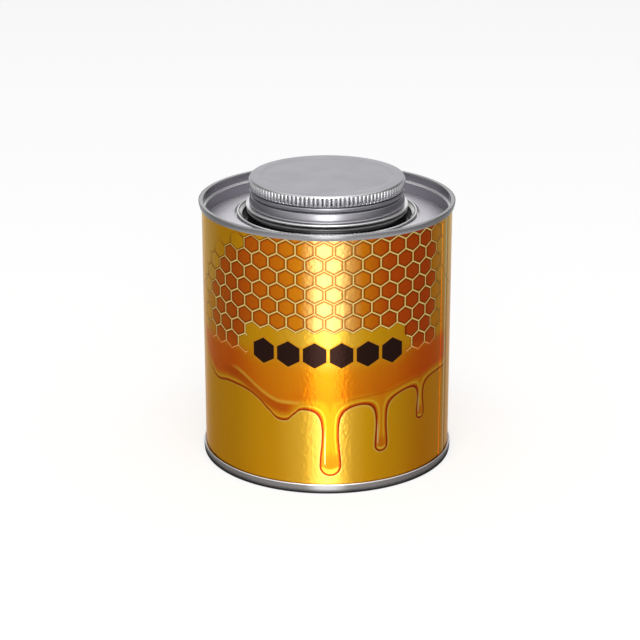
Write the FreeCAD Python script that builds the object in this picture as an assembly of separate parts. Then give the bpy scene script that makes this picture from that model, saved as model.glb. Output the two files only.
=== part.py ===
"""Round screw-cap food tin: wall and fill, two double-seamed ends, a clinched neck and a knurled cap.

Millimetres. The origin is the centre of the foot, +Z is up and the printed front faces -Y. Every piece
is turned about the Z axis, and only the wall's side lap and the cap's knurl aren't round. A height is
measured from the foot, unless its name says otherwise.
"""

import FreeCAD, Part
import math
import os

# Whole tin
TIN_HEIGHT = 106.0  # foot to the crest of the top seam
WALL_RADIUS = 49.85  # outside of the printed wall
PLATE = 0.30  # tinplate of the wall and of the top end
FIT = 0.05  # clearance between two turned faces of one joint

# Top seam
SEAM_PROUD = 1.15  # stands out this much from the wall
SEAM_HEIGHT = 2.50
SEAM_CREST_ROUND = 0.60
SEAM_INNER_ROUND = 0.20
SEAM_LIP_ROUND = 0.30

# Recess of the top end
RECESS_DEPTH = 8.95  # crest of the seam down to the foot of the recess wall
RECESS_FOOT_ROUND = 0.60
RECESS_BEAD_DEPTH = 3.95  # crest down to the inward bead of the recess wall
RECESS_BEAD_PROUD = 0.65
RECESS_BEAD_HALF = 0.85
RECESS_BEAD_ROUND = 0.35
CONE_RISE = 3.75  # the panel climbs this much from the recess wall to the neck
CONE_LIP_RISE = 0.18
CONE_LIP_WIDTH = 0.60
CONE_LIP_ROUND = 0.12

# Bottom end
FOOT_SEAM_PROUD = 0.90
FOOT_SEAM_HEIGHT = 3.90
FOOT_SEAM_WIDTH = 1.60
FOOT_ROUND = 0.55
FOOT_LIP_ROUND = 0.22
FOOT_GAP = 0.38  # open gap between the wall and the lip of the seam
FOOT_GAP_DEPTH = 0.80
FOOT_PANEL_PLATE = 0.40
FOOT_BEAD_OUTER = 42.0  # flat ring pressed down in the bottom panel
FOOT_BEAD_INNER = 33.0
FOOT_BEAD_DROP = 0.60
FOOT_BEAD_RAMP = 0.90

# Neck
NECK_OVER_CAP = 0.60  # the bare neck below its bead stands out this much from the cap's knurl
CURL_GAP = 0.70  # open gap between the panel's lip and the neck's curl
CURL_GAP_DEPTH = 1.30
CURL_WIDTH = 0.95  # rolled edge that clinches the neck in the panel
CURL_HEIGHT = 0.50  # stands up this much from the panel's lip
CURL_ROUND = 0.42
APRON_WIDTH = 1.45  # from the curl inwards to the channel
APRON_DROP = 0.80
CHANNEL_WIDTH = 2.00
CHANNEL_DEPTH = 2.70
CHANNEL_ROUND = 0.30
NECK_BEAD_PROUD = 0.75
NECK_BEAD_HEIGHT = 0.80
NECK_BEAD_ROUND = 0.38
RIB_PROUD = 0.40  # second, lower rib on the neck
RIB_HEIGHT = 0.70
RIB_ROUND = 0.30
RIB_DROP = 0.95  # underside of the bead down to the top of the rib

# Cap
CAP_RADIUS = 31.0  # over the knurl
CAP_HEIGHT = 11.0
CAP_SUNK = 1.65  # the skirt's lower edge lies this much below the crest of the top seam
CAP_EDGE_GAP = 0.25  # open gap between that edge and the neck's bead
CAP_PLATE = 0.45
CAP_FIT = 0.15  # clearance between the skirt and the neck
CAP_SHOULDER_ROUND = 0.75
CAP_CREST_WIDTH = 5.0  # flat rim on top, out to the knurl
CAP_DISH_SLOPE = 1.60  # width of the slope from that rim down to the flat middle
CAP_DISH_DEPTH = 0.65
CAP_DISH_ROUND = 1.20
CAP_EDGE_INSET = 0.15
CAP_EDGE_ROUND = 0.25
SKIRT_HEIGHT = 3.55  # from the lower edge to the groove above it
SKIRT_ROUND = 0.38
GROOVE_DEPTH = 0.75
GROOVE_WIDTH = 0.90
GROOVE_ROUND = 0.18
RING_WIDTH = 1.45
RING_INSET = 0.25
RING_ROUND = 0.30

# Knurl of the cap
KNURL_COUNT = 110
KNURL_HEIGHT = 3.70
KNURL_DEPTH = 0.40
KNURL_CREST_SHARE = 0.42  # shares of one pitch that the crest and the valley of a tooth take
KNURL_VALLEY_SHARE = 0.20
KNURL_END_SLOPE = 0.55  # height over which both ends of the teeth taper in

# Side lap of the wall
LAP_ANGLE = 67.6  # degrees from the front, towards +X
LAP_WIDTH = 4.60
LAP_PROUD = 0.14

# Derived sizes
SEAM_RADIUS = WALL_RADIUS + SEAM_PROUD
SEAM_UNDERSIDE = TIN_HEIGHT - SEAM_HEIGHT
WALL_BORE = WALL_RADIUS - PLATE
END_RADIUS = WALL_BORE - FIT
RECESS_RADIUS = END_RADIUS - PLATE
RECESS_FOOT = TIN_HEIGHT - RECESS_DEPTH
FILL_TOP = RECESS_FOOT - PLATE
NECK_RADIUS = CAP_RADIUS + NECK_OVER_CAP
CHANNEL_OUTER = NECK_RADIUS + CHANNEL_WIDTH
CURL_INNER = CHANNEL_OUTER + APRON_WIDTH
CURL_RADIUS = CURL_INNER + CURL_WIDTH
CONE_INNER = CURL_RADIUS + CURL_GAP
LIP_TOP = RECESS_FOOT + CONE_RISE
NECK_FOOT_RADIUS = CONE_INNER - FIT
CURL_TOP = LIP_TOP + CURL_HEIGHT
APRON_EDGE = LIP_TOP - APRON_DROP
CHANNEL_FLOOR = APRON_EDGE - CHANNEL_DEPTH
CAP_EDGE_HEIGHT = TIN_HEIGHT - CAP_SUNK
BEAD_TOP = CAP_EDGE_HEIGHT - CAP_EDGE_GAP
BEAD_UNDERSIDE = BEAD_TOP - NECK_BEAD_HEIGHT
RIB_TOP = BEAD_UNDERSIDE - RIB_DROP
CAP_BORE = CAP_RADIUS - GROOVE_DEPTH - CAP_PLATE
STUB_RADIUS = CAP_BORE - CAP_FIT
CAP_TOP = CAP_EDGE_HEIGHT + CAP_HEIGHT
STUB_TOP = CAP_TOP - CAP_DISH_DEPTH - CAP_PLATE
FOOT_RADIUS = WALL_RADIUS + FOOT_SEAM_PROUD
FOOT_PANEL_TOP = FOOT_SEAM_HEIGHT - FOOT_GAP_DEPTH
FOOT_PANEL_UNDERSIDE = FOOT_PANEL_TOP - FOOT_PANEL_PLATE

AXIS = FreeCAD.Vector(0, 0, 1)
CENTRE = FreeCAD.Vector(0, 0, 0)


def rounded_corner(before, corner, after, radius):
    """Start, middle and end of the arc of this radius that rounds the corner between two straights."""
    back = (before - corner).normalize()
    ahead = (after - corner).normalize()
    half_angle = back.getAngle(ahead) / 2
    inward = (back + ahead).normalize()
    reach = radius / math.tan(half_angle)
    centre = corner + inward * (radius / math.sin(half_angle))
    return corner + back * reach, centre - inward * radius, corner + ahead * reach


def turned(profile):
    """Solid turned about the Z axis from a closed outline of (radius, height[, rounding]) corners."""
    corners = [FreeCAD.Vector(point[0], 0, point[1]) for point in profile]
    arcs = []
    for index, corner in enumerate(corners):
        rounding = profile[index][2] if len(profile[index]) > 2 else 0
        after = corners[(index + 1) % len(corners)]
        arcs.append(rounded_corner(corners[index - 1], corner, after, rounding))
    edges = []
    for index, (start, middle, end) in enumerate(arcs):
        if len(profile[index]) > 2:
            edges.append(Part.Arc(start, middle, end).toShape())
        next_start = arcs[(index + 1) % len(arcs)][0]
        edges.append(Part.LineSegment(end, next_start).toShape())
    return Part.Face(Part.Wire(edges)).revolve(CENTRE, AXIS, 360)


def round_point(radius, angle, height=0):
    """Point at a radius, an angle in radians from +X and a height."""
    return FreeCAD.Vector(radius * math.cos(angle), radius * math.sin(angle), height)


def can_body():
    """Printed wall and the fill behind it, one solid, with the wall standing up bare to the top seam."""
    tube = turned([
        (0, FOOT_PANEL_TOP),
        (WALL_RADIUS, FOOT_PANEL_TOP),
        (WALL_RADIUS, SEAM_UNDERSIDE),
        (WALL_BORE, SEAM_UNDERSIDE),
        (WALL_BORE, FILL_TOP),
        (0, FILL_TOP),
    ])
    return tube.fuse(side_lap()).removeSplitter()


def side_lap():
    """Raised strip where the two edges of the wall's sheet overlap, from one seam to the other."""
    middle = math.radians(LAP_ANGLE - 90)
    half = LAP_WIDTH / 2 / WALL_RADIUS
    rings = (WALL_BORE + PLATE / 2, WALL_RADIUS + LAP_PROUD)
    inner, outer = [
        [round_point(radius, middle + side * half, FOOT_PANEL_TOP) for side in (-1, 0, 1)]
        for radius in rings
    ]
    outline = Part.Wire([
        Part.Arc(*inner).toShape(),
        Part.LineSegment(inner[-1], outer[-1]).toShape(),
        Part.Arc(*outer).toShape(),
        Part.LineSegment(outer[0], inner[0]).toShape(),
    ])
    return Part.Face(outline).extrude(AXIS * (SEAM_UNDERSIDE - FOOT_PANEL_TOP))


def base_end():
    """Bottom end: double seam round the foot, recessed panel and one flat ring pressed down in it."""
    bead_underside = FOOT_PANEL_UNDERSIDE - FOOT_BEAD_DROP
    return turned([
        (0, FOOT_PANEL_UNDERSIDE),
        (FOOT_BEAD_INNER - FOOT_BEAD_RAMP, FOOT_PANEL_UNDERSIDE),
        (FOOT_BEAD_INNER, bead_underside),
        (FOOT_BEAD_OUTER, bead_underside),
        (FOOT_BEAD_OUTER + FOOT_BEAD_RAMP, FOOT_PANEL_UNDERSIDE),
        (FOOT_RADIUS - FOOT_SEAM_WIDTH, FOOT_PANEL_UNDERSIDE),
        (FOOT_RADIUS - FOOT_SEAM_WIDTH, 0, FOOT_ROUND),
        (FOOT_RADIUS, 0, FOOT_ROUND),
        (FOOT_RADIUS, FOOT_SEAM_HEIGHT, FOOT_LIP_ROUND),
        (WALL_RADIUS + FOOT_GAP, FOOT_SEAM_HEIGHT, FOOT_LIP_ROUND),
        (WALL_RADIUS + FOOT_GAP, FOOT_PANEL_TOP),
        (0, FOOT_PANEL_TOP),
    ])


def top_end():
    """Top end: double seam, beaded recess wall, and the shallow cone that carries the neck."""
    bead = TIN_HEIGHT - RECESS_BEAD_DEPTH
    return turned([
        (CONE_INNER, FILL_TOP),
        (END_RADIUS, FILL_TOP),
        (END_RADIUS, SEAM_UNDERSIDE),
        (SEAM_RADIUS, SEAM_UNDERSIDE, SEAM_LIP_ROUND),
        (SEAM_RADIUS, TIN_HEIGHT, SEAM_CREST_ROUND),
        (RECESS_RADIUS, TIN_HEIGHT, SEAM_INNER_ROUND),
        (RECESS_RADIUS, bead + RECESS_BEAD_HALF),
        (RECESS_RADIUS - RECESS_BEAD_PROUD, bead, RECESS_BEAD_ROUND),
        (RECESS_RADIUS, bead - RECESS_BEAD_HALF),
        (RECESS_RADIUS, RECESS_FOOT, RECESS_FOOT_ROUND),
        (CONE_INNER + CONE_LIP_WIDTH, LIP_TOP - CONE_LIP_RISE),
        (CONE_INNER + CONE_LIP_WIDTH / 2, LIP_TOP, CONE_LIP_ROUND),
        (CONE_INNER, LIP_TOP - CONE_LIP_RISE, CONE_LIP_ROUND),
    ])


def neck():
    """Neck: curl clinched in the panel, apron, channel, beaded wall, and the stub inside the cap."""
    gap_floor = LIP_TOP - CURL_GAP_DEPTH
    bead = NECK_RADIUS + NECK_BEAD_PROUD
    rib = NECK_RADIUS + RIB_PROUD
    return turned([
        (0, FILL_TOP),
        (NECK_FOOT_RADIUS, FILL_TOP),
        (NECK_FOOT_RADIUS, gap_floor),
        (CURL_RADIUS, gap_floor),
        (CURL_RADIUS, CURL_TOP, CURL_ROUND),
        (CURL_INNER, CURL_TOP, CURL_ROUND),
        (CURL_INNER, LIP_TOP),
        (CHANNEL_OUTER, APRON_EDGE, CHANNEL_ROUND),
        (CHANNEL_OUTER, CHANNEL_FLOOR, CHANNEL_ROUND),
        (NECK_RADIUS, CHANNEL_FLOOR, CHANNEL_ROUND),
        (NECK_RADIUS, RIB_TOP - RIB_HEIGHT),
        (rib, RIB_TOP - RIB_HEIGHT, RIB_ROUND),
        (rib, RIB_TOP, RIB_ROUND),
        (NECK_RADIUS, RIB_TOP),
        (NECK_RADIUS, BEAD_UNDERSIDE),
        (bead, BEAD_UNDERSIDE, NECK_BEAD_ROUND),
        (bead, BEAD_TOP, NECK_BEAD_ROUND),
        (STUB_RADIUS, BEAD_TOP),
        (STUB_RADIUS, STUB_TOP),
        (0, STUB_TOP),
    ])


def cap_shell():
    """Cap without its teeth: dished top, plain band for the knurl, ring, groove and rolled skirt."""
    band = CAP_RADIUS - KNURL_DEPTH
    floor = CAP_RADIUS - GROOVE_DEPTH
    ring = CAP_RADIUS - RING_INSET
    edge = CAP_RADIUS - CAP_EDGE_INSET
    crest_inner = CAP_RADIUS - CAP_CREST_WIDTH
    skirt_top = CAP_EDGE_HEIGHT + SKIRT_HEIGHT
    ring_foot = skirt_top + GROOVE_WIDTH
    ring_top = ring_foot + RING_WIDTH
    knurl_foot = knurl_top() - KNURL_HEIGHT
    return turned([
        (CAP_BORE, CAP_EDGE_HEIGHT),
        (edge, CAP_EDGE_HEIGHT, CAP_EDGE_ROUND),
        (CAP_RADIUS, CAP_EDGE_HEIGHT + SKIRT_HEIGHT / 2, SKIRT_HEIGHT),
        (edge, skirt_top, SKIRT_ROUND),
        (floor, skirt_top, GROOVE_ROUND),
        (floor, ring_foot, GROOVE_ROUND),
        (ring, ring_foot, RING_ROUND),
        (ring, ring_top, RING_ROUND),
        (floor, ring_top),
        (floor, knurl_foot),
        (band, knurl_foot),
        (band, CAP_TOP, CAP_SHOULDER_ROUND),
        (crest_inner, CAP_TOP, CAP_DISH_ROUND),
        (crest_inner - CAP_DISH_SLOPE, CAP_TOP - CAP_DISH_DEPTH, CAP_DISH_ROUND),
        (0, CAP_TOP - CAP_DISH_DEPTH),
        (0, STUB_TOP),
        (CAP_BORE, STUB_TOP),
    ])


def knurl_top():
    """Height of the upper end of the teeth, just under the rounded shoulder of the cap."""
    return CAP_TOP - CAP_SHOULDER_ROUND


def knurl():
    """Ring of tapering teeth round the band of the cap, a toothed disc trimmed to a turned ring."""
    foot = knurl_top() - KNURL_HEIGHT
    valley = CAP_RADIUS - KNURL_DEPTH
    pitch = 2 * math.pi / KNURL_COUNT
    outline = []
    for tooth in range(KNURL_COUNT):
        middle = tooth * pitch
        half_crest = pitch * KNURL_CREST_SHARE / 2
        half_foot = pitch * (1 - KNURL_VALLEY_SHARE) / 2
        outline.append(round_point(valley, middle - half_foot, foot))
        outline.append(round_point(CAP_RADIUS, middle - half_crest, foot))
        outline.append(round_point(CAP_RADIUS, middle + half_crest, foot))
        outline.append(round_point(valley, middle + half_foot, foot))
    disc = Part.Face(Part.makePolygon(outline + outline[:1])).extrude(AXIS * KNURL_HEIGHT)
    band = turned([
        (CAP_BORE, foot),
        (valley, foot),
        (CAP_RADIUS, foot + KNURL_END_SLOPE),
        (CAP_RADIUS, foot + KNURL_HEIGHT - KNURL_END_SLOPE),
        (valley, foot + KNURL_HEIGHT),
        (CAP_BORE, foot + KNURL_HEIGHT),
    ])
    return disc.common(band)


def cap():
    """Screw cap with its knurl."""
    return cap_shell().fuse(knurl()).removeSplitter()


NODES = {
    "can_body": can_body,
    "base_end": base_end,
    "top_end": top_end,
    "neck": neck,
    "cap": cap,
}


def main():
    """Write one STEP file for each sub-part."""
    os.makedirs("parts", exist_ok=True)
    for name, make in NODES.items():
        shape = make()
        solid = shape.Solids[0]
        print(f"{name}: solids {len(shape.Solids)}, valid {solid.isValid()}, {solid.Volume:.0f} mm3")
        solid.exportStep(f"parts/{name}.step")


main()
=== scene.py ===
"""Round honey tin: gold lacquered wall between two tinplate ends, a short neck and a knurled screw cap.

Metres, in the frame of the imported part: +Z up, the foot at height 0, the printed front facing -Y.
"""
import math

import bpy
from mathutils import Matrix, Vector


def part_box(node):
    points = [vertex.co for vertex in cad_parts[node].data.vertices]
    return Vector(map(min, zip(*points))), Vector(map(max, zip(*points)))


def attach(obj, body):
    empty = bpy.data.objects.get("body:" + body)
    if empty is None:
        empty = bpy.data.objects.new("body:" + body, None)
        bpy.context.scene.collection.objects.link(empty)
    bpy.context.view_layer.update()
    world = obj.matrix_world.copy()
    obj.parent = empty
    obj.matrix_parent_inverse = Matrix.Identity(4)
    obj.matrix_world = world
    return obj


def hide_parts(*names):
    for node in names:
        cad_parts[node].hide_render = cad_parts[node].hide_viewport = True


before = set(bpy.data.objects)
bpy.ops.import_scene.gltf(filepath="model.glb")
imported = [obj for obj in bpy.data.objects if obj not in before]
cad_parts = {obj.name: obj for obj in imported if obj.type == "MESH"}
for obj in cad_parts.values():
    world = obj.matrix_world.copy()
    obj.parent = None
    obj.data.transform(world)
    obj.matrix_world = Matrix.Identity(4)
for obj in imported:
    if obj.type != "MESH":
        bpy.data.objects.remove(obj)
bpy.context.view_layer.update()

MM = 0.001

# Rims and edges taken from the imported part, in millimetres


def top_of(node):
    """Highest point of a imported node, in millimetres."""
    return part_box(node)[1].z / MM


def foot_of(node):
    """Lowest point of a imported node, in millimetres."""
    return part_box(node)[0].z / MM


def reach_of(node):
    """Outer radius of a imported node, in millimetres."""
    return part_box(node)[1].x / MM


TIN_HEIGHT = top_of("top_end")
SEAM_RADIUS = reach_of("top_end")
WALL_RADIUS = SEAM_RADIUS - 1.15
WALL_TOP = top_of("can_body")
WALL_FOOT = foot_of("can_body")
SHEET = 0.30
SEAT_GAP = 0.05  # open gap between two pieces that sit in each other
END_FOOT = foot_of("top_end")
FOOT_RADIUS = reach_of("base_end")
FOOT_LIP = top_of("base_end")
NECK_FOOT = foot_of("neck")
NECK_REACH = reach_of("neck")
NECK_TOP = top_of("neck")
CAP_RADIUS = reach_of("cap")
CAP_EDGE = foot_of("cap")
CAP_TOP = top_of("cap")

ROUND_SIDES = 240
HUB = 8.0  # radius of the flat disc that closes a turned piece

# Recess in the top end: its wall, its floor, the stacking bead on its wall and the lip round the neck
RECESS_RADIUS = WALL_RADIUS - 2 * SHEET - SEAT_GAP
RECESS_FOOT = END_FOOT + 0.30
STACK_BEAD = TIN_HEIGHT - 3.95
LIP_TOP = RECESS_FOOT + 3.75

# Neck under the cap: its bare wall, the channel round it, the foot of its bead and the middle of its rib
NECK_WALL = CAP_RADIUS + 0.60
CHANNEL_OUTER = NECK_WALL + 2.00
NECK_BEAD_FOOT = CAP_EDGE - 1.05
NECK_RIB = CAP_EDGE - 2.35
STUB_RADIUS = 29.6
CAP_BORE = 29.8

# Side lap of the wall, in degrees from the front towards +X
LAP_FROM = 64.5
LAP_TO = 70.5
LAP_PROUD = 0.13

# Lines along the lap, the pale ones painted highlights and the dark ones painted shade: bearing and half
# width in degrees, strength, colour
LAP_LINES = [
    (LAP_FROM, 0.8, 0.35, (0.30, 0.13, 0.004, 1)),
    (LAP_TO - 1.2, 0.9, 0.85, (0.98, 0.90, 0.66, 1)),
    (LAP_TO + 1.2, 0.9, 0.60, (0.16, 0.07, 0.004, 1)),
    (LAP_TO + 4.5, 0.9, 0.35, (0.98, 0.90, 0.66, 1)),
]

# Knurl of the cap
KNURL_COUNT = 110
KNURL_STEPS = 6
KNURL_DEPTH = 0.72
KNURL_TOP = CAP_TOP - 0.80
KNURL_FOOT = KNURL_TOP - 3.60
# Depth of each step of a tooth, as a share of KNURL_DEPTH: one narrow valley between rounded crests
KNURL_VALLEY = {1: 0.10, 2: 0.42, 3: 1.0, 4: 0.42, 5: 0.10}


# ---------------------------------------------------------------- modelling

def deselect_all():
    """Leave object mode with nothing selected."""
    if bpy.context.mode != "OBJECT":
        bpy.ops.object.mode_set(mode="OBJECT")
    bpy.ops.object.select_all(action="DESELECT")


def pick(piece, wanted):
    """Select only the vertices of a piece for which wanted(position in mm) holds, and stay in edit mode."""
    bpy.ops.object.mode_set(mode="EDIT")
    bpy.ops.mesh.select_mode(type="VERT")
    bpy.ops.mesh.select_all(action="DESELECT")
    bpy.ops.object.mode_set(mode="OBJECT")
    for vertex in piece.data.vertices:
        vertex.select = wanted(vertex.co / MM)
    bpy.ops.object.mode_set(mode="EDIT")


def widen(factor, height):
    """Scale the selection about the Z axis at a height in mm."""
    bpy.ops.transform.resize(value=(factor, factor, 1), center_override=(0, 0, height * MM))


def turned(name, outline, sides, closed_ring=False):
    """A turned piece: a circle on the outline's first corner, extruded through the others.

    The outline's corners are (radius, height[, rounding]) in mm. A solid piece keeps a disc at both ends,
    and a ring is joined up to its first corner. The roundings are cut by one weighted bevel.
    """
    deselect_all()
    radius, height = outline[0][:2]
    fill = "NOTHING" if closed_ring else "NGON"
    bpy.ops.mesh.primitive_circle_add(vertices=sides, radius=radius * MM, fill_type=fill)
    piece = bpy.context.object
    piece.name = name
    piece.data.name = name
    bpy.ops.object.mode_set(mode="EDIT")
    bpy.ops.transform.translate(value=(0, 0, height * MM))
    corners = outline[1:] + (outline[:1] if closed_ring else [])
    for corner in corners:
        rise = corner[1] - height
        bpy.ops.mesh.extrude_region_move(TRANSFORM_OT_translate={"value": (0, 0, rise * MM)})
        widen(corner[0] / radius, corner[1])
        radius, height = corner[:2]
    bpy.ops.mesh.select_all(action="SELECT")
    bpy.ops.mesh.remove_doubles(threshold=0.001 * MM)
    bpy.ops.mesh.normals_make_consistent(inside=False)
    round_corners(piece, outline)
    return piece


def round_corners(piece, outline):
    """Bevel each ring of edges that has a rounding, by its own width."""
    bpy.ops.object.mode_set(mode="OBJECT")
    widest = max((corner[2] for corner in outline if len(corner) > 2), default=0)
    if not widest:
        return
    mesh = piece.data
    weights = mesh.attributes.new("bevel_weight_edge", "FLOAT", "EDGE")
    ring = {}
    for vertex in mesh.vertices:
        place = (math.hypot(vertex.co.x, vertex.co.y) / MM, vertex.co.z / MM)
        for number, corner in enumerate(outline):
            if abs(place[0] - corner[0]) < 0.002 and abs(place[1] - corner[1]) < 0.002:
                ring[vertex.index] = number
    for edge in mesh.edges:
        number, other = (ring.get(index) for index in edge.vertices)
        if number is not None and number == other and len(outline[number]) > 2:
            weights.data[edge.index].value = outline[number][2] / widest
    bevel = piece.modifiers.new("Rounded rims", "BEVEL")
    bevel.limit_method = "WEIGHT"
    bevel.width = widest * MM
    bevel.segments = 5
    bevel.use_clamp_overlap = False
    bpy.context.view_layer.objects.active = piece
    bpy.ops.object.modifier_apply(modifier=bevel.name)


def finish_piece(piece, node, material, angle=40):
    """Smooth the piece, even out its shading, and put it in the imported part's place."""
    deselect_all()
    piece.select_set(True)
    bpy.context.view_layer.objects.active = piece
    bpy.ops.object.shade_smooth_by_angle(angle=math.radians(angle))
    shading = piece.modifiers.new("Even shading", "WEIGHTED_NORMAL")
    shading.keep_sharp = True
    shading.weight = 80
    bpy.ops.object.modifier_apply(modifier=shading.name)
    piece.data.materials.clear()
    piece.data.materials.append(material)
    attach(piece, "root")
    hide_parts(node)


# ---------------------------------------------------------------- pieces

def bearing_of(place):
    """Degrees round from the front, positive towards +X."""
    return math.degrees(math.atan2(place.x, -place.y))


def make_wall(material):
    """Printed wall: a tube whose two edges overlap in a raised strip on the right."""
    inner = WALL_RADIUS - SHEET
    foot = WALL_FOOT + SEAT_GAP
    outline = [(inner, foot), (WALL_RADIUS, foot), (WALL_RADIUS, WALL_TOP), (inner, WALL_TOP)]
    wall = turned("printed_wall", outline, ROUND_SIDES, closed_ring=True)
    margin = 0.1

    def on_lap(place):
        outside = math.hypot(place.x, place.y) > WALL_RADIUS - margin
        return outside and LAP_FROM - margin < bearing_of(place) < LAP_TO + margin

    pick(wall, on_lap)
    bpy.ops.mesh.extrude_region_move()
    widen((WALL_RADIUS + LAP_PROUD) / WALL_RADIUS, 0)
    bpy.ops.object.mode_set(mode="OBJECT")
    finish_piece(wall, "can_body", material, angle=25)


def make_base_end(material):
    """Bottom end: double seam round the foot and a recessed panel with a ring pressed down in it."""
    panel = WALL_FOOT - 0.40
    pressed = panel - 0.60
    ring_inner = 32.1
    ring_outer = 42.9
    ring_slope = 0.9
    foot_inner = FOOT_RADIUS - 1.60
    gap_outer = WALL_RADIUS + 0.38
    outline = [
        (HUB, panel),
        (ring_inner, panel, 0.5),
        (ring_inner + ring_slope, pressed, 0.5),
        (ring_outer - ring_slope, pressed, 0.5),
        (ring_outer, panel, 0.5),
        (foot_inner, panel, 0.5),
        (foot_inner, 0, 0.55),
        (FOOT_RADIUS - 0.22, 0, 0.45),
        (FOOT_RADIUS, FOOT_LIP - 1.5, 0.85),
        (FOOT_RADIUS - 0.08, FOOT_LIP, 0.40),
        (gap_outer, FOOT_LIP, 0.2),
        (gap_outer, WALL_FOOT),
        (WALL_RADIUS - 5, WALL_FOOT),
    ]
    base = turned("base_end_plate", outline, ROUND_SIDES)
    finish_piece(base, "base_end", material)


def make_top_end(material):
    """Top end: double seam, recess wall with its inward bead, and the cone up to the neck."""
    end_radius = WALL_RADIUS - SHEET - SEAT_GAP
    bead_inner = RECESS_RADIUS - 0.80
    cone_inner = NECK_REACH + SEAT_GAP
    outline = [
        (cone_inner, END_FOOT),
        (end_radius, END_FOOT),
        (end_radius, WALL_TOP),
        (SEAM_RADIUS - 0.45, WALL_TOP, 0.25),
        (SEAM_RADIUS, WALL_TOP + 1.5, 0.85),
        (SEAM_RADIUS, TIN_HEIGHT, 0.62),
        (RECESS_RADIUS + 0.05, TIN_HEIGHT, 0.24),
        (RECESS_RADIUS, STACK_BEAD + 0.55, 0.12),
        (bead_inner, STACK_BEAD + 0.28, 0.18),
        (bead_inner, STACK_BEAD - 0.25, 0.24),
        (RECESS_RADIUS, STACK_BEAD - 0.60, 0.15),
        (RECESS_RADIUS, RECESS_FOOT, 0.60),
        (cone_inner + 0.75, LIP_TOP - 0.22, 0.2),
        (cone_inner + 0.35, LIP_TOP, 0.14),
        (cone_inner, LIP_TOP - 0.25, 0.12),
    ]
    end = turned("top_end_plate", outline, ROUND_SIDES, closed_ring=True)
    finish_piece(end, "top_end", material)


def make_neck(material):
    """Neck: curl clinched in the panel, apron, deep channel, rib and bead, and the stub in the cap."""
    curl_outer = NECK_REACH - 0.65
    curl_inner = curl_outer - 0.95
    curl_foot = LIP_TOP - 1.30
    curl_top = LIP_TOP + 0.50
    apron_edge = LIP_TOP - 0.80
    floor = apron_edge - 2.70
    bead = NECK_WALL + 0.75
    bead_top = CAP_EDGE - 0.25
    bead_foot = bead_top - 0.80
    rib = NECK_WALL + 0.40
    rib_top = bead_top - 1.75
    rib_foot = rib_top - 0.70
    outline = [
        (HUB, NECK_FOOT),
        (NECK_REACH, NECK_FOOT),
        (NECK_REACH, curl_foot),
        (curl_outer, curl_foot),
        (curl_outer, curl_top, 0.42),
        (curl_inner, curl_top, 0.42),
        (curl_inner, LIP_TOP, 0.2),
        (CHANNEL_OUTER, apron_edge, 0.3),
        (CHANNEL_OUTER, floor, 0.3),
        (NECK_WALL, floor, 0.3),
        (NECK_WALL, rib_foot, 0.1),
        (rib, rib_foot, 0.28),
        (rib, rib_top, 0.28),
        (NECK_WALL, rib_top, 0.1),
        (NECK_WALL, bead_foot, 0.12),
        (bead, bead_foot, 0.37),
        (bead, bead_top, 0.37),
        (STUB_RADIUS, bead_top),
        (STUB_RADIUS, NECK_TOP),
    ]
    neck = turned("neck_plate", outline, ROUND_SIDES)
    finish_piece(neck, "neck", material)


def make_cap(material):
    """Screw cap: dished top, knurled band, ring between two grooves and rolled skirt."""
    groove = CAP_RADIUS - 1.00
    ring = CAP_RADIUS - 0.25
    shoulder = CAP_RADIUS - 0.34
    rim_inner = 26.9
    dish = 25.4
    dish_height = CAP_TOP - 0.42
    outline = [
        (HUB, NECK_TOP),
        (CAP_BORE, NECK_TOP),
        (CAP_BORE, CAP_EDGE),
        (CAP_RADIUS - 0.30, CAP_EDGE, 0.25),
        (CAP_RADIUS, CAP_EDGE + 0.70, 0.5),
        (CAP_RADIUS - 0.20, CAP_EDGE + 2.00, 0.9),
        (CAP_RADIUS - 0.66, CAP_EDGE + 3.50, 0.3),
        (groove, CAP_EDGE + 3.65, 0.12),
        (groove, CAP_EDGE + 4.45, 0.2),
        (ring, CAP_EDGE + 4.55, 0.34),
        (ring, CAP_EDGE + 5.90, 0.34),
        (groove, CAP_EDGE + 5.95, 0.15),
        (groove, KNURL_FOOT, 0.1),
        (shoulder, KNURL_FOOT),
        (CAP_RADIUS, KNURL_FOOT + 0.35),
        (CAP_RADIUS, KNURL_TOP - 0.25),
        (shoulder + 0.10, KNURL_TOP),
        (shoulder, CAP_TOP - 0.12, 0.62),
        (rim_inner, CAP_TOP, 0.5),
        (dish, dish_height, 0.5),
        (HUB, dish_height),
    ]
    sides = KNURL_COUNT * KNURL_STEPS
    cap = turned("screw_cap", outline, sides)
    for step, share in KNURL_VALLEY.items():
        def on_step(place):
            turn = math.atan2(place.y, place.x) / (2 * math.pi) * sides
            crest = abs(math.hypot(place.x, place.y) - CAP_RADIUS) < 0.02
            in_band = KNURL_FOOT + 0.2 < place.z < KNURL_TOP - 0.1
            return crest and in_band and round(turn) % KNURL_STEPS == step
        pick(cap, on_step)
        widen((CAP_RADIUS - KNURL_DEPTH * share) / CAP_RADIUS, 0)
    bpy.ops.object.mode_set(mode="OBJECT")
    finish_piece(cap, "cap", material, angle=28)


# ---------------------------------------------------------------- materials

# Sockets of a colour mix
MIX_SHARE, MIX_UNDER, MIX_OVER, MIX_RESULT = 0, 6, 7, 2


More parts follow.
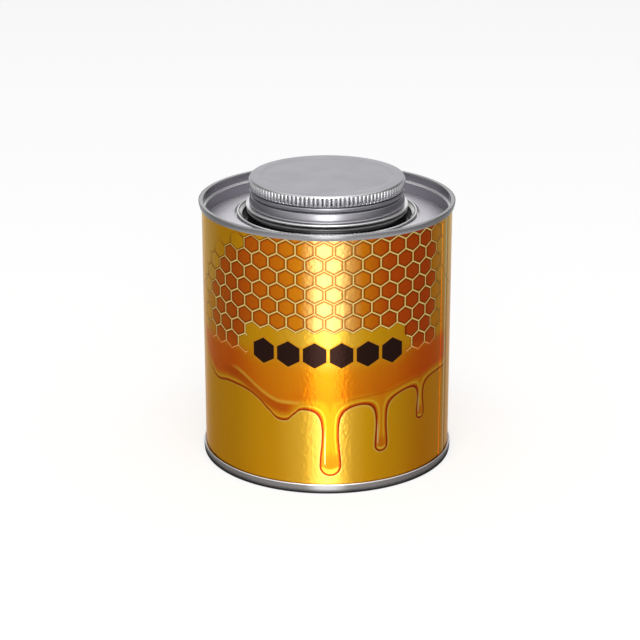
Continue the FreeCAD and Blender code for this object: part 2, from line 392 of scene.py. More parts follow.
class Wiring:
    """The nodes of a new material or world and short ways to add and join them."""

    def __init__(self, owner):
        owner.use_nodes = True
        self.owner = owner
        self.tree = owner.node_tree
        self.shader = self.tree.nodes.get("Principled BSDF")

    def plug(self, socket, value):
        """Join a socket to another one, or set its value."""
        if isinstance(value, bpy.types.NodeSocket):
            self.tree.links.new(value, socket)
        else:
            socket.default_value = value

    def node(self, kind, inputs=None, **settings):
        """Add a node, set it and plug its inputs."""
        new = self.tree.nodes.new(kind)
        for key, value in settings.items():
            setattr(new, key, value)
        for key, value in (inputs or {}).items():
            self.plug(new.inputs[key], value)
        return new

    def math(self, operation, *values):
        """One step of arithmetic."""
        new = self.tree.nodes.new("ShaderNodeMath")
        new.operation = operation
        for number, value in enumerate(values):
            self.plug(new.inputs[number], value)
        return new.outputs[0]

    def times(self, *values):
        """Product of two or more numbers."""
        product = values[0]
        for value in values[1:]:
            product = self.math("MULTIPLY", product, value)
        return product

    def aside(self, value, middle):
        """Distance of a number from a middle value, on either side."""
        return self.math("ABSOLUTE", self.math("SUBTRACT", value, middle))

    def ease(self, value, low, high):
        """0 at low and 1 at high, with a soft start and end."""
        inputs = {"Value": value, "From Min": low, "From Max": high}
        return self.node("ShaderNodeMapRange", inputs, interpolation_type="SMOOTHSTEP").outputs["Result"]

    def mix(self, share, under, over, blend_type="MIX"):
        """Lay one colour over another."""
        inputs = {MIX_SHARE: share, MIX_UNDER: under, MIX_OVER: over}
        new = self.node("ShaderNodeMix", inputs, data_type="RGBA", blend_type=blend_type)
        return new.outputs[MIX_RESULT]

    def ramp(self, value, stops):
        """Colour along a scale of (place, colour) stops."""
        new = self.node("ShaderNodeValToRGB", {"Fac": value})
        elements = new.color_ramp.elements
        while len(elements) < len(stops):
            elements.new(0.5)
        for element, (place, colour) in zip(elements, stops):
            element.position = place
            element.color = colour
        return new.outputs["Color"]


def tinplate(name, tone, roughness, grain, grain_size):
    """Satin tinplate with a fine grain and faint clouding."""
    w = Wiring(bpy.data.materials.new(name))
    place = w.node("ShaderNodeTexCoord").outputs["Object"]
    clouds = w.node("ShaderNodeTexNoise", {"Vector": place, "Scale": 60.0, "Detail": 3.0}).outputs["Fac"]
    dark = tuple(channel * 0.9 for channel in tone) + (1,)
    light = tuple(min(1, channel * 1.05) for channel in tone) + (1,)
    w.plug(w.shader.inputs["Base Color"], w.ramp(clouds, [(0.3, dark), (0.7, light)]))
    w.shader.inputs["Metallic"].default_value = 1.0
    fine = w.node("ShaderNodeTexNoise", {"Vector": place, "Scale": 1 / (grain_size * MM), "Detail": 4.0})
    spread = 0.10
    rough = w.math("MULTIPLY_ADD", fine.outputs["Fac"], spread, roughness - spread / 2)
    w.plug(w.shader.inputs["Roughness"], rough)
    relief = {"Height": fine.outputs["Fac"], "Strength": grain, "Distance": 0.02 * MM}
    w.plug(w.shader.inputs["Normal"], w.node("ShaderNodeBump", relief).outputs["Normal"])
    return w


def turned_place(w):
    """Height and radius of the shaded point, in millimetres."""
    place = w.node("ShaderNodeTexCoord").outputs["Object"]
    axes = w.node("ShaderNodeSeparateXYZ", {"Vector": place}).outputs
    flat = w.node("ShaderNodeCombineXYZ", {"X": axes["X"], "Y": axes["Y"]}).outputs[0]
    radius = w.node("ShaderNodeVectorMath", {0: flat}, operation="LENGTH").outputs["Value"]
    return w.math("DIVIDE", axes["Z"], MM), w.math("DIVIDE", radius, MM)


def retone_patch(w, share, tone, roughness):
    """Give part of the metal another tone and roughness, used for an own tone and for painted highlights
    and painted shade.
    """
    for name, value in (("Base Color", tone + (1,)), ("Roughness", (roughness,) * 3 + (1,))):
        socket = w.shader.inputs[name]
        w.plug(socket, w.mix(share, socket.links[0].from_socket, value))


def within(w, value, low, high):
    """1 between two limits, with narrow soft edges."""
    soft = 0.06
    return w.times(w.ease(value, low - soft, low + soft), w.ease(value, high + soft, high - soft))


def end_finish():
    """Tinplate of both ends: pale and satin on the recessed panel, painted darker on the recess wall as
    painted shade, and painted bright on its bead and on the foot's lip as a painted highlight."""
    w = tinplate("end tinplate", (0.39, 0.385, 0.40), 0.20, 0.3, 0.6)
    height, radius = turned_place(w)
    panel_edge = RECESS_RADIUS - 0.3
    on_panel = w.times(
        within(w, height, END_FOOT, END_FOOT + 4.4),
        within(w, radius, NECK_REACH - 0.15, panel_edge),
    )
    retone_patch(w, on_panel, (0.90, 0.88, 0.93), 0.46)
    # Recess wall painted darker: painted shade.
    on_wall = w.times(
        within(w, height, END_FOOT + 0.8, TIN_HEIGHT - 0.7),
        within(w, radius, panel_edge, RECESS_RADIUS + 0.5),
    )
    retone_patch(w, on_wall, (0.27, 0.26, 0.29), 0.22)
    # Bead of the recess and lip of the foot painted bright: painted highlight.
    on_bead = w.times(
        within(w, height, STACK_BEAD - 0.1, STACK_BEAD + 0.7),
        within(w, radius, RECESS_RADIUS - 1.7, RECESS_RADIUS + 0.1),
    )
    on_lip = within(w, height, FOOT_LIP - 0.35, FOOT_LIP + 0.2)
    retone_patch(w, w.math("MAXIMUM", on_bead, on_lip), (0.96, 0.96, 0.97), 0.30)
    return w.owner


def neck_finish():
    """Tinplate, painted bright on the bead and the curl as a painted highlight; below the bead the wall and
    the channel are painted near-black as painted shade.
    """
    w = tinplate("neck tinplate", (0.68, 0.68, 0.67), 0.18, 0.2, 0.6)
    height, radius = turned_place(w)
    near_wall = w.math("LESS_THAN", radius, NECK_WALL + 2.4)
    # Bead and curl painted bright: painted highlight.
    on_bead = w.times(within(w, height, NECK_BEAD_FOOT, CAP_EDGE), near_wall)
    past_channel = w.math("GREATER_THAN", radius, CHANNEL_OUTER + 0.7)
    on_curl = w.times(past_channel, w.ease(height, LIP_TOP + 0.1, LIP_TOP + 0.3))
    retone_patch(w, w.math("MAXIMUM", on_bead, on_curl), (0.97, 0.97, 0.97), 0.32)
    metal = w.shader.inputs["Base Color"].links[0].from_socket
    # Below the bead the neck wall and the channel are painted near-black as painted shade, a little less
    # dark on the rib.
    painted_channel_shade = w.ease(height, NECK_BEAD_FOOT + 0.12, NECK_BEAD_FOOT - 0.12)
    on_rib = w.ease(w.aside(height, NECK_RIB), 0.45, 0.25)
    on_rib = w.times(on_rib, w.math("LESS_THAN", radius, NECK_WALL + 0.6))
    painted_channel_shade = w.math("SUBTRACT", painted_channel_shade, w.times(on_rib, 0.45))
    painted_channel_shade = w.times(painted_channel_shade, w.math("LESS_THAN", radius, CHANNEL_OUTER + 0.05))
    w.plug(w.shader.inputs["Base Color"], w.mix(painted_channel_shade, metal, (0.012, 0.012, 0.014, 1)))
    w.plug(w.shader.inputs["Metallic"], w.math("SUBTRACT", 1.0, w.times(painted_channel_shade, 0.9)))
    return w.owner


def cap_finish():
    """Tinplate, dull on the flat top, satin on the sides, painted bright on the knurl's crests as a painted
    highlight and painted dark in its valleys and in the grooves as painted shade."""
    w = tinplate("cap tinplate", (0.53, 0.52, 0.555), 0.32, 0.9, 0.30)
    rolled = w.shader.inputs["Roughness"].links[0].from_socket
    height, radius = turned_place(w)
    on_top = w.ease(height, CAP_TOP - 0.9, CAP_TOP - 0.6)
    w.plug(w.shader.inputs["Roughness"], w.math("MULTIPLY_ADD", on_top, 0.11, rolled))
    # Knurl crests painted bright: painted highlight.
    crest = w.times(
        w.ease(radius, CAP_RADIUS - 0.50, CAP_RADIUS - 0.30),
        w.ease(height, KNURL_FOOT, KNURL_FOOT + 0.2),
    )
    retone_patch(w, crest, (0.93, 0.93, 0.94), 0.17)
    tone = w.shader.inputs["Base Color"].links[0].from_socket
    # Knurl valleys and the groove under the knurl painted dark: painted shade.
    valley = w.ease(radius, CAP_RADIUS - 0.28, CAP_RADIUS - 0.58)
    valley = w.times(valley, w.ease(height, KNURL_FOOT - 0.1, KNURL_FOOT + 0.2))
    valley = w.times(valley, w.ease(height, KNURL_TOP + 0.1, KNURL_TOP - 0.3))
    groove = w.ease(radius, CAP_RADIUS - 0.72, CAP_RADIUS - 0.95)
    groove = w.times(groove, w.ease(height, KNURL_FOOT + 0.2, KNURL_FOOT))
    shaded = w.math("MAXIMUM", w.times(valley, 0.85), w.times(groove, 0.8))
    w.plug(w.shader.inputs["Base Color"], w.mix(shaded, tone, (0.08, 0.08, 0.09, 1)))
    return w.owner


# Print on the wall: bearings in degrees from the front, positive to the right, and heights in mm
ARC = math.radians(WALL_RADIUS)  # mm of wall for each degree
SLANT = math.sqrt(3) / 2  # cosine of the slope of a hexagon's slanted sides, and the rise between comb rows

COMB_MIDDLE = -1.2
COMB_PITCH = 8.5
COMB_TOP_ROW = 99.4
COMB_ROW_RISE = 5.81
COMB_LINE = 0.26  # half width of a line, mm
# Lower edge of the filled cells and of the lines: bearing of the notch's sides, height in it and beside it
CELL_FLOOR = (39.5, 67.5, 55.5)
LINE_FLOOR = (38.2, 66.2, 54.4)

ROW_MIDDLE = 0.5
ROW_COUNT = 6
ROW_PITCH = 10.4  # mm from one dark hexagon to the next
ROW_HEIGHT = 57.4
ROW_SIZE = 4.55  # mm from the middle to a flat side

HONEY_EDGE = [
    (-84, 56.0), (-76, 51.0), (-72, 45.5), (-66, 41.2), (-59, 39.0), (-50, 40.2), (-40, 39.6),
    (-33, 37.2), (-27, 33.0), (-20, 29.7), (-15, 32.4), (-11, 34.9), (5, 35.5), (15, 36.7),
    (30, 38.0), (38, 39.6), (50, 40.8), (58, 41.6), (72, 41.8), (90, 42.0),
]
# Each drip: bearing, lowest point, half width of its stem and of its drop, and how far it blends
# into the honey on its left and on its right
DRIPS = [
    (1.5, 7.3, 3.35, 4.25, 12.5, 12.0),
    (25.1, 15.9, 2.40, 2.85, 11.0, 10.0),
    (47.3, 25.2, 1.80, 2.45, 8.0, 8.0),
]


# Fold in the left part of the honey: height of its crest, and its rise between two bearings
FOLD_CREST = 37.2
FOLD_RISE = 10.0
FOLD_RIGHT = -20.0
FOLD_LEFT = -48.0

# Thin line round the back: bearing at which it starts, its lowest height, and its climb towards the front
BACK_LINE_FROM = 64.0
BACK_LINE_HEIGHT = 70.0
BACK_LINE_CLIMB = 15.0
BACK_LINE_FADE = 11.0


def gold_lacquer():
    """Gold lacquer on tinplate, printed with a honeycomb and a band of dripping honey, with painted
    highlights and painted shade.
    """
    w = Wiring(bpy.data.materials.new("printed gold lacquer"))
    place = w.node("ShaderNodeTexCoord").outputs["Object"]
    axes = w.node("ShaderNodeSeparateXYZ", {"Vector": place}).outputs
    front = w.times(axes["Y"], -1)
    bearing = w.math("DEGREES", w.math("ARCTAN2", axes["X"], front))
    height = w.math("DIVIDE", axes["Z"], MM)

    # Gold painted paler in front as a painted highlight, and deeper towards the right as painted shade.
    gold = w.ramp(w.math("DIVIDE", w.math("ADD", bearing, 90), 180), [
        (0.00, (0.88, 0.39, 0.003, 1)),
        (0.17, (0.87, 0.40, 0.002, 1)),
        (0.36, (0.89, 0.42, 0.003, 1)),
        (0.45, (0.94, 0.54, 0.040, 1)),
        (0.50, (0.98, 0.62, 0.110, 1)),
        (0.54, (0.95, 0.55, 0.050, 1)),
        (0.60, (0.91, 0.46, 0.004, 1)),
        (0.69, (0.88, 0.41, 0.003, 1)),
        (0.77, (0.84, 0.31, 0.002, 1)),
        (0.85, (0.86, 0.34, 0.002, 1)),
        (1.00, (0.88, 0.39, 0.003, 1)),
    ])
    aside = w.math("ABSOLUTE", bearing)
    # Upper sides painted paler towards the edges: a painted reflection.
    painted_side_sheen = w.times(w.ease(aside, 54, 70), w.ease(aside, 100, 80))
    painted_side_sheen = w.times(painted_side_sheen, w.ease(height, 55, 95))
    gold = w.mix(w.times(painted_side_sheen, 0.6), gold, (1.0, 0.68, 0.20, 1))
    colour, metal = honeycomb(w, bearing, height, gold)
    colour = honey(w, bearing, height, colour)
    colour = hexagon_row(w, bearing, height, colour)
    colour = trim_lines(w, bearing, height, colour)
    w.plug(w.shader.inputs["Base Color"], colour)
    w.plug(w.shader.inputs["Metallic"], metal)

    peel = w.node("ShaderNodeTexNoise", {"Vector": place, "Scale": 1 / (1.5 * MM), "Detail": 3.0})
    bump = w.node("ShaderNodeBump", {"Height": peel.outputs["Fac"], "Strength": 1.0, "Distance": 0.10 * MM})
    w.plug(w.shader.inputs["Normal"], bump.outputs["Normal"])
    w.shader.inputs["Roughness"].default_value = 0.19
    w.shader.inputs["Specular Tint"].default_value = (1.0, 0.85, 0.55, 1)
    w.shader.inputs["Coat Weight"].default_value = 0.15
    w.shader.inputs["Coat Roughness"].default_value = 0.12
    return w.owner


def comb_cell(w, bearing, height):
    """Distance in mm from the cell's nearest side, and the bearing and height of the cell's middle."""
    across = w.math("DIVIDE", w.math("SUBTRACT", bearing, COMB_MIDDLE), COMB_PITCH)
    up = w.times(w.math("SUBTRACT", height, COMB_TOP_ROW), SLANT / COMB_ROW_RISE)
    even_x = w.math("WRAP", across, 0.5, -0.5)
    even_y = w.math("WRAP", up, SLANT, -SLANT)
    odd_x = w.math("WRAP", w.math("ADD", across, 0.5), 0.5, -0.5)
    odd_y = w.math("WRAP", w.math("ADD", up, SLANT), SLANT, -SLANT)
    even_far = w.math("ADD", w.times(even_x, even_x), w.times(even_y, even_y))
    odd_far = w.math("ADD", w.times(odd_x, odd_x), w.times(odd_y, odd_y))
    odd_is_near = w.math("LESS_THAN", odd_far, even_far)
    cell_x = blend(w, odd_is_near, even_x, odd_x)
    cell_y = blend(w, odd_is_near, even_y, odd_y)
    sideways = w.math("ABSOLUTE", cell_x)
    slanted = w.math("MULTIPLY_ADD", w.math("ABSOLUTE", cell_y), SLANT, w.times(sideways, 0.5))
    to_edge = w.math("SUBTRACT", 0.5, w.math("MAXIMUM", sideways, slanted))
    to_edge = w.times(to_edge, COMB_PITCH * ARC)

    cell_bearing = w.math("MULTIPLY_ADD", w.math("SUBTRACT", across, cell_x), COMB_PITCH, COMB_MIDDLE)
    cell_height = w.math("SUBTRACT", up, cell_y)
    cell_height = w.math("MULTIPLY_ADD", cell_height, COMB_ROW_RISE / SLANT, COMB_TOP_ROW)
    return to_edge, cell_bearing, cell_height


def cell_amber(w, bearing, to_edge):
    """Colour of the filled cells, deeper towards their sides, and painted paler in front as a painted
    highlight.
    """
    # Cells painted paler in front: painted highlight.
    amber = w.ramp(w.math("DIVIDE", w.math("ADD", bearing, 66), 132), [
        (0.00, (0.76, 0.15, 0.001, 1)),
        (0.16, (0.74, 0.12, 0.001, 1)),
        (0.30, (0.84, 0.20, 0.001, 1)),
        (0.41, (0.88, 0.29, 0.003, 1)),
        (0.47, (1.00, 0.66, 0.200, 1)),
        (0.54, (1.00, 0.64, 0.180, 1)),
        (0.62, (0.86, 0.26, 0.002, 1)),
        (0.71, (0.74, 0.105, 0.001, 1)),
        (0.88, (0.72, 0.080, 0.001, 1)),
        (1.00, (0.78, 0.14, 0.001, 1)),
    ])
    return w.mix(w.ease(to_edge, 1.4, COMB_LINE), amber, (0.34, 0.035, 0.001, 1))


def honeycomb(w, bearing, height, gold):
    """Pale lines round amber cells; the amber fades out at the sides, cell by cell."""
    to_edge, cell_bearing, cell_height = comb_cell(w, bearing, height)
    left_limit = comb_left_limit(w, cell_height)
    inside_left = w.ease(w.math("SUBTRACT", cell_bearing, left_limit), -4.0, 2.5)
    inside_right = w.ease(cell_bearing, 60.0, 54.0)
    sides = w.times(inside_left, inside_right)
    filled = w.times(sides, comb_floor(w, cell_bearing, cell_height, *CELL_FLOOR))
    colour = w.mix(filled, gold, cell_amber(w, bearing, to_edge))

    line_limit = comb_left_limit(w, height)
    line_left = w.ease(w.math("SUBTRACT", bearing, line_limit), -17.0, -3.0)
    line_right = w.ease(bearing, 66.0, 60.0)
    region = w.times(line_left, line_right)
    region = w.times(region, comb_floor(w, bearing, height, *LINE_FLOOR))
    edge_line = w.ease(to_edge, COMB_LINE + 0.34, COMB_LINE + 0.20)
    line = w.ease(to_edge, COMB_LINE + 0.06, COMB_LINE - 0.06)
    colour = w.mix(w.times(edge_line, region), colour, (0.45, 0.14, 0.003, 1))
    pale = w.times(line, region, w.ease(sides, 0.0, 0.6))
    faint = w.times(line, region, w.ease(sides, 0.6, 0.0))
    colour = w.mix(w.times(faint, 0.6), colour, (0.55, 0.27, 0.02, 1))
    colour = w.mix(pale, colour, (0.92, 0.70, 0.22, 1))
    metal = w.math("SUBTRACT", 1.0, w.times(pale, 0.6))
    return colour, metal


def blend(w, share, first, second):
    """A number between two others."""
    return w.math("MULTIPLY_ADD", share, w.math("SUBTRACT", second, first), first)


def comb_left_limit(w, height):
    """Bearing at which the cells end on the left, further in towards the top."""
    low_limit = -64.0
    turning = 26.0
    turn_from = 62.0
    turn_height = 38.0
    share = w.math("DIVIDE", w.math("SUBTRACT", height, turn_from), turn_height)
    cubed = w.math("POWER", w.math("MAXIMUM", share, 0.0), 3.0)
    return w.math("MULTIPLY_ADD", cubed, turning, low_limit)


def comb_floor(w, bearing, height, notch, middle_floor, side_floor):
    """1 above the lower edge of the comb, which hangs lower on both sides of a notch."""
    aside = w.math("GREATER_THAN", w.math("ABSOLUTE", bearing), notch)
    lowest = blend(w, aside, middle_floor, side_floor)
    return w.math("GREATER_THAN", height, lowest)


def hexagon_row(w, bearing, height, colour):
    """Row of plain dark hexagons with an orange rim, between the comb and the honey."""
    arc = w.times(w.math("SUBTRACT", bearing, ROW_MIDDLE), ARC)
    half_row = ROW_COUNT * ROW_PITCH / 2
    in_row = w.math("LESS_THAN", w.math("ABSOLUTE", arc), half_row)
    start = w.math("ADD", arc, half_row)
    across = w.math("ABSOLUTE", w.math("SUBTRACT", w.math("WRAP", start, ROW_PITCH, 0.0), ROW_PITCH / 2))
    up = w.aside(height, ROW_HEIGHT)
    slanted = w.math("MULTIPLY_ADD", up, SLANT, w.times(across, 0.5))
    outside = w.math("SUBTRACT", w.math("MAXIMUM", across, slanted), ROW_SIZE)
    rim = w.times(w.ease(outside, 1.1, 0.1), in_row)
    dark = w.times(w.ease(outside, 0.10, -0.10), in_row)
    colour = w.mix(w.times(rim, 0.8), colour, (0.90, 0.36, 0.01, 1))
    return w.mix(dark, colour, (0.030, 0.010, 0.006, 1))


def drip_depth(w, arc, height, drip):
    """Signed distance in mm from one drip's outline, negative inside."""
    bearing, lowest, stem, drop, left_blend, right_blend = drip
    middle = lowest + drop
    sideways = w.math("SUBTRACT", arc, bearing * ARC)
    along = w.math("SUBTRACT", height, w.math("MAXIMUM", height, middle))
    far = w.math("SQRT", w.math("MULTIPLY_ADD", sideways, sideways, w.times(along, along)))
    swelling = w.ease(height, middle + 3.2 * drop, middle)
    radius = w.math("MULTIPLY_ADD", swelling, drop - stem, stem)
    to_right = w.ease(sideways, -stem, stem)
    reach = w.math("MULTIPLY_ADD", to_right, right_blend - left_blend, left_blend)
    return w.math("SUBTRACT", far, radius), reach, sideways


def honey_edge(w, bearing):
    """Height in mm of the honey's lower edge between the drips."""
    tallest = 60
    curve = w.node("ShaderNodeFloatCurve", {"Value": w.math("DIVIDE", w.math("ADD", bearing, 90), 180)})
    points = curve.mapping.curves[0].points
    while len(points) < len(HONEY_EDGE):
        points.new(0.5, 0.5)
    for point, (at, level) in zip(points, HONEY_EDGE):
        point.location = ((at + 90) / 180, level / tallest)
        point.handle_type = "AUTO_CLAMPED"
    curve.mapping.update()
    return w.times(curve.outputs["Value"], tallest)


def honey_depth(w, bearing, height, edge):
    """Signed distance in mm from the honey's outline, negative inside, and the shape of each drip."""
    arc = w.times(bearing, ARC)
    depth = w.math("SUBTRACT", edge, height)
    drops = []
    for drip in DRIPS:
        far, reach, sideways = drip_depth(w, arc, height, drip)
        depth = w.math("SMOOTH_MIN", depth, far, reach)
        drops.append((drip, far, sideways))
    return depth, drops


def honey_body(w, bearing, inside):
    """Colour of the honey: dark outline, lit edge and a body painted palest in front as a painted
    highlight.
    """
    body = w.ramp(w.math("DIVIDE", inside, 16), [
        (0.000, (0.34, 0.014, 0.001, 1)),
        (0.026, (0.40, 0.020, 0.001, 1)),
        (0.045, (0.74, 0.12, 0.001, 1)),
        (0.070, (0.92, 0.32, 0.002, 1)),
        (0.095, (1.00, 0.60, 0.030, 1)),
        (0.130, (0.93, 0.36, 0.004, 1)),
        (0.200, (0.95, 0.40, 0.004, 1)),
        (0.300, (0.92, 0.29, 0.001, 1)),
        (1.000, (0.93, 0.35, 0.002, 1)),
    ])
    # Honey painted palest in front and deeper at the sides: painted highlight.
    deep = w.ramp(w.math("DIVIDE", w.math("ADD", bearing, 80), 160), [
        (0.00, (0.95, 0.45, 0.6, 1)),
        (0.20, (0.97, 0.45, 0.6, 1)),
        (0.31, (1.00, 0.78, 0.6, 1)),
        (0.43, (1.02, 0.88, 1.0, 1)),
        (0.58, (1.00, 0.85, 1.0, 1)),
        (0.70, (1.00, 0.68, 0.6, 1)),
        (0.76, (0.97, 0.50, 0.6, 1)),
        (0.83, (0.94, 0.36, 0.6, 1)),
        (1.00, (0.92, 0.45, 0.6, 1)),
    ])
    return w.mix(w.ease(inside, 1.2, 4.0), body, deep, blend_type="MULTIPLY")


def honey(w, bearing, height, colour):
    """Band of honey with three drips, its outline, its lit edges and its drops."""
    edge = honey_edge(w, bearing)
    depth, drops = honey_depth(w, bearing, height, edge)
    body = honey_body(w, bearing, w.times(depth, -1))
    body = fold_light(w, bearing, height, edge, body)
    for drip, far, sideways in drops:
        body = drop_light(w, height, drip, far, sideways, body)

    # The print's pale halo round the outline is made stronger in front: a painted highlight.
    lit = w.ease(w.math("ABSOLUTE", bearing), 60.0, 20.0)
    halo = w.times(w.ease(depth, 0.9, 0.35), w.math("MULTIPLY_ADD", lit, 0.30, 0.03))
    printed = w.times(w.ease(bearing, -82.0, -72.0), w.math("LESS_THAN", bearing, LAP_TO))
    middle = w.ease(w.math("ABSOLUTE", bearing), 44.0, 34.0)
    top = w.math("MULTIPLY_ADD", middle, 1.5, 59.5)
    fade = w.math("MULTIPLY_ADD", middle, 6.0, 6.0)
    upper = w.ease(height, top, w.math("SUBTRACT", top, fade))
    cover = w.times(w.ease(depth, 0.12, -0.12), upper, printed)
    halo = w.times(halo, printed, w.ease(depth, -0.3, 0.0))
    colour = w.mix(halo, colour, (1.0, 0.74, 0.20, 1))
    return w.mix(cover, colour, body)


def fold_light(w, bearing, height, edge, body):
    """Fold in the honey on the left, lit along its crest, and a thin ridge along the edge on the right."""
    crest = w.math("MULTIPLY_ADD", w.ease(bearing, FOLD_RIGHT, FOLD_LEFT), FOLD_RISE, FOLD_CREST)
    below = w.math("SUBTRACT", crest, height)
    from_edge = w.math("SUBTRACT", height, edge)
    start = w.math("MULTIPLY_ADD", w.ease(bearing, -23.0, -29.0), -0.7, 1.3)
    shade = w.times(
        w.ease(below, 0.1, 1.0),
        w.ease(below, 5.6, 3.0),
        w.ease(from_edge, start, w.math("ADD", start, 0.8)),
        w.ease(bearing, -60.0, -46.0),
        w.ease(bearing, -12.0, -20.0),
    )
    body = w.mix(w.times(shade, 0.8), body, (0.68, 0.11, 0.001, 1))
    streak = w.times(
        w.ease(w.aside(below, -0.3), 1.2, 0.1),
        w.ease(bearing, -50.0, -42.0),
        w.ease(bearing, -9.0, -16.0),
    )
    body = w.mix(w.times(streak, 0.75), body, (1.0, 0.55, 0.05, 1))
    ridge = w.times(
        w.ease(w.aside(from_edge, 2.9), 0.5, 0.1),
        w.ease(bearing, 6.0, 12.0),
        w.ease(bearing, 58.0, 50.0),
    )
    return w.mix(w.times(ridge, 0.6), body, (0.70, 0.13, 0.001, 1))


def drop_light(w, height, drip, far, sideways, body):
    """Bright crescent and shaded band in a drop, and the light along its stem."""
    _, lowest, stem, drop, _, _ = drip
    middle = lowest + drop
    lift = w.math("SUBTRACT", height, middle + 0.55 * drop)
    from_lift = w.math("SQRT", w.math("MULTIPLY_ADD", sideways, sideways, w.times(lift, lift)))
    crescent = w.times(w.ease(from_lift, 0.80 * drop, 1.05 * drop), w.ease(far, -0.7, -1.1))
    crescent = w.times(crescent, w.ease(height, middle + 0.1 * drop, middle - 0.3 * drop))
    shade = w.times(w.ease(height, middle + 1.7 * drop, middle + 0.5 * drop), w.ease(far, -0.6, -1.4))
    shade = w.times(shade, w.math("SUBTRACT", 1.0, crescent))
    body = w.mix(w.times(shade, 0.75), body, (0.80, 0.20, 0.002, 1))
    body = w.mix(crescent, body, (1.0, 0.66, 0.05, 1))
    aside = w.math("ABSOLUTE", w.math("ADD", sideways, 0.62 * stem))
    streak = w.times(w.ease(aside, 0.28, 0.10), w.ease(height, middle, middle + 1.5))
    streak = w.times(streak, w.ease(height, middle + 4.2 * drop, middle + 2.0 * drop))
    return w.mix(w.times(streak, 0.8), body, (1.0, 0.85, 0.45, 1))


def trim_lines(w, bearing, height, colour):
    """Pale lines as painted highlights and dark lines as painted shade along the side lap, and a thin line
    that dips round the back.
    """
    # Lines along the lap: painted highlights and painted shade.
    for at, half, share, tone in LAP_LINES:
        near = w.ease(w.aside(bearing, at), half, half * 0.5)
        colour = w.mix(w.times(near, share), colour, tone)
    past_side = w.math("SUBTRACT", w.math("ABSOLUTE", bearing), BACK_LINE_FROM)
    past_side = w.math("MAXIMUM", past_side, 0.0)
    dip = w.math("EXPONENT", w.math("DIVIDE", past_side, -BACK_LINE_FADE))
    line_height = w.math("MULTIPLY_ADD", dip, BACK_LINE_CLIMB, BACK_LINE_HEIGHT)
    near = w.ease(w.aside(height, line_height), 0.45, 0.15)
    near = w.times(near, w.math("GREATER_THAN", past_side, 0.1))
    return w.mix(w.times(near, 0.7), colour, (0.25, 0.12, 0.01, 1))


# ---------------------------------------------------------------- studio

CAMERA_PLACE = (0, -0.7755, 0.3317)
CAMERA_AIM = (0, 0, 0.05426)

# In the metal's reflections the floor is painted dark under the foot, a painted contact shadow, between
# these distances from the tin's axis
CONTACT_INNER = 0.0512
CONTACT_OUTER = 0.0548

# What the metal sees near the horizon, from the front at 0 round either side to the back at 1
SURROUNDINGS = [
    (0.00, 0.95), (0.06, 0.78), (0.17, 0.46), (0.29, 0.38), (0.41, 0.27),
    (0.55, 0.16), (0.82, 0.16), (0.90, 0.28), (0.94, 0.58), (0.97, 0.88), (1.00, 0.95),
]


def make_camera():
    """Camera a little above the tin, a long lens, aimed near the middle of its height."""
    bpy.ops.object.camera_add(location=CAMERA_PLACE)
    camera = bpy.context.object
    camera.rotation_euler = (Vector(CAMERA_AIM) - camera.location).to_track_quat("-Z", "Y").to_euler()
    camera.data.sensor_width = 36
    camera.data.lens = 114.1
    camera.data.shift_x = -0.0109
    camera.data.clip_start = 0.01
    bpy.context.scene.camera = camera


def area_light(name, place, aim, size, power):
    """Soft rectangular lamp."""
    bpy.ops.object.light_add(type="AREA", location=place)
    lamp = bpy.context.object
    lamp.name = name
    lamp.data.shape = "RECTANGLE"
    lamp.data.size, lamp.data.size_y = size
    lamp.data.energy = power
    lamp.rotation_euler = (Vector(aim) - Vector(place)).to_track_quat("-Z", "Y").to_euler()
    lamp.visible_camera = False


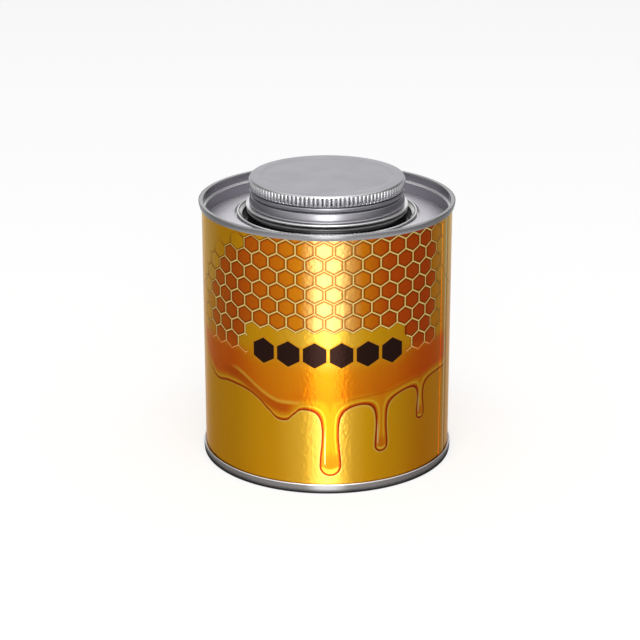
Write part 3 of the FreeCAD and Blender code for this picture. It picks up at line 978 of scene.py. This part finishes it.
def make_floor():
    """Pale floor: matt to the camera, with the tin's shadow, and glossy in the tin's reflections, where a
    painted shadow darkens it under the foot.
    """
    deselect_all()
    bpy.ops.mesh.primitive_circle_add(vertices=96, radius=4, fill_type="NGON")
    floor = bpy.context.object
    floor.name = "floor"
    w = Wiring(bpy.data.materials.new("pale floor"))
    w.tree.nodes.remove(w.shader)
    light_path = w.node("ShaderNodeLightPath").outputs
    matt = w.node("ShaderNodeBsdfDiffuse", {"Color": (0.55, 0.55, 0.55, 1)}).outputs[0]
    glow = w.node("ShaderNodeEmission", {"Color": (1, 1, 1, 1), "Strength": 0.60}).outputs[0]
    seen = w.node("ShaderNodeAddShader", {0: matt, 1: glow}).outputs[0]
    place = w.node("ShaderNodeTexCoord").outputs["Object"]
    away = w.node("ShaderNodeVectorMath", {0: place}, operation="LENGTH").outputs["Value"]
    # Painted contact shadow under the foot, seen only in reflections.
    open_floor = w.ease(away, CONTACT_INNER, CONTACT_OUTER)
    level = w.ramp(open_floor, [(0, (0.05, 0.05, 0.05, 1)), (1, (0.72, 0.72, 0.72, 1))])
    plain = w.node("ShaderNodeBsdfDiffuse", {"Color": level}).outputs[0]
    sheen = w.node("ShaderNodeBsdfGlossy", {"Color": (1, 1, 1, 1), "Roughness": 0.10}).outputs[0]
    share = w.times(open_floor, 0.53)
    felt = w.node("ShaderNodeMixShader", {0: share, 1: plain, 2: sheen}).outputs[0]
    shown = w.node("ShaderNodeMixShader", {0: light_path["Is Camera Ray"], 1: felt, 2: seen}).outputs[0]
    w.plug(w.tree.nodes["Material Output"].inputs["Surface"], shown)
    floor.data.materials.append(w.owner)


def make_world():
    """White surroundings; the metal sees them darker at the sides near the horizon and white overhead."""
    world = bpy.data.worlds.new("white surroundings")
    bpy.context.scene.world = world
    w = Wiring(world)
    background = w.tree.nodes["Background"]
    background.inputs["Color"].default_value = (1, 1, 1, 1)
    light_path = w.node("ShaderNodeLightPath").outputs
    direction = w.node("ShaderNodeTexCoord").outputs["Generated"]
    axes = w.node("ShaderNodeSeparateXYZ", {"Vector": direction}).outputs
    around = w.math("MULTIPLY_ADD", axes["Y"], 0.5, 0.5)
    horizon = w.ramp(around, [(stop, (value, value, value, 1)) for stop, value in SURROUNDINGS])
    lean = w.math("MULTIPLY_ADD", axes["X"], -0.22, 1.0)
    leaning = w.times(horizon, lean)
    limits = {"Value": axes["Z"], "From Min": 0.50, "From Max": 0.70, "To Min": leaning, "To Max": 1.0}
    sky = w.node("ShaderNodeMapRange", limits, interpolation_type="SMOOTHSTEP").outputs["Result"]
    on_metal = w.node("ShaderNodeMix", {"Factor": light_path["Is Glossy Ray"], "A": 0.5, "B": sky})
    unseen = on_metal.outputs["Result"]
    seen = w.node("ShaderNodeMix", {"Factor": light_path["Is Camera Ray"], "A": unseen, "B": 1.0})
    w.plug(background.inputs["Strength"], seen.outputs["Result"])


def make_studio():
    """Floor, surroundings and soft lamps."""
    make_floor()
    make_world()
    area_light("front strip", (0, -1.6, 0.62), (0, 0, 0.62), (0.60, 1.20), 3.6)
    area_light("wide front strip", (0, -1.65, 0.62), (0, 0, 0.62), (1.00, 1.20), 4.4)
    area_light("top lamp", (0, -0.5, 1.6), (0, 0, 0.05), (0.8, 0.5), 6)


make_wall(gold_lacquer())
END_PLATE = end_finish()
make_base_end(END_PLATE)
make_top_end(END_PLATE)
make_neck(neck_finish())
make_cap(cap_finish())
make_camera()
make_studio()

bpy.context.scene.view_settings.view_transform = "Standard"
bpy.context.view_layer.update()
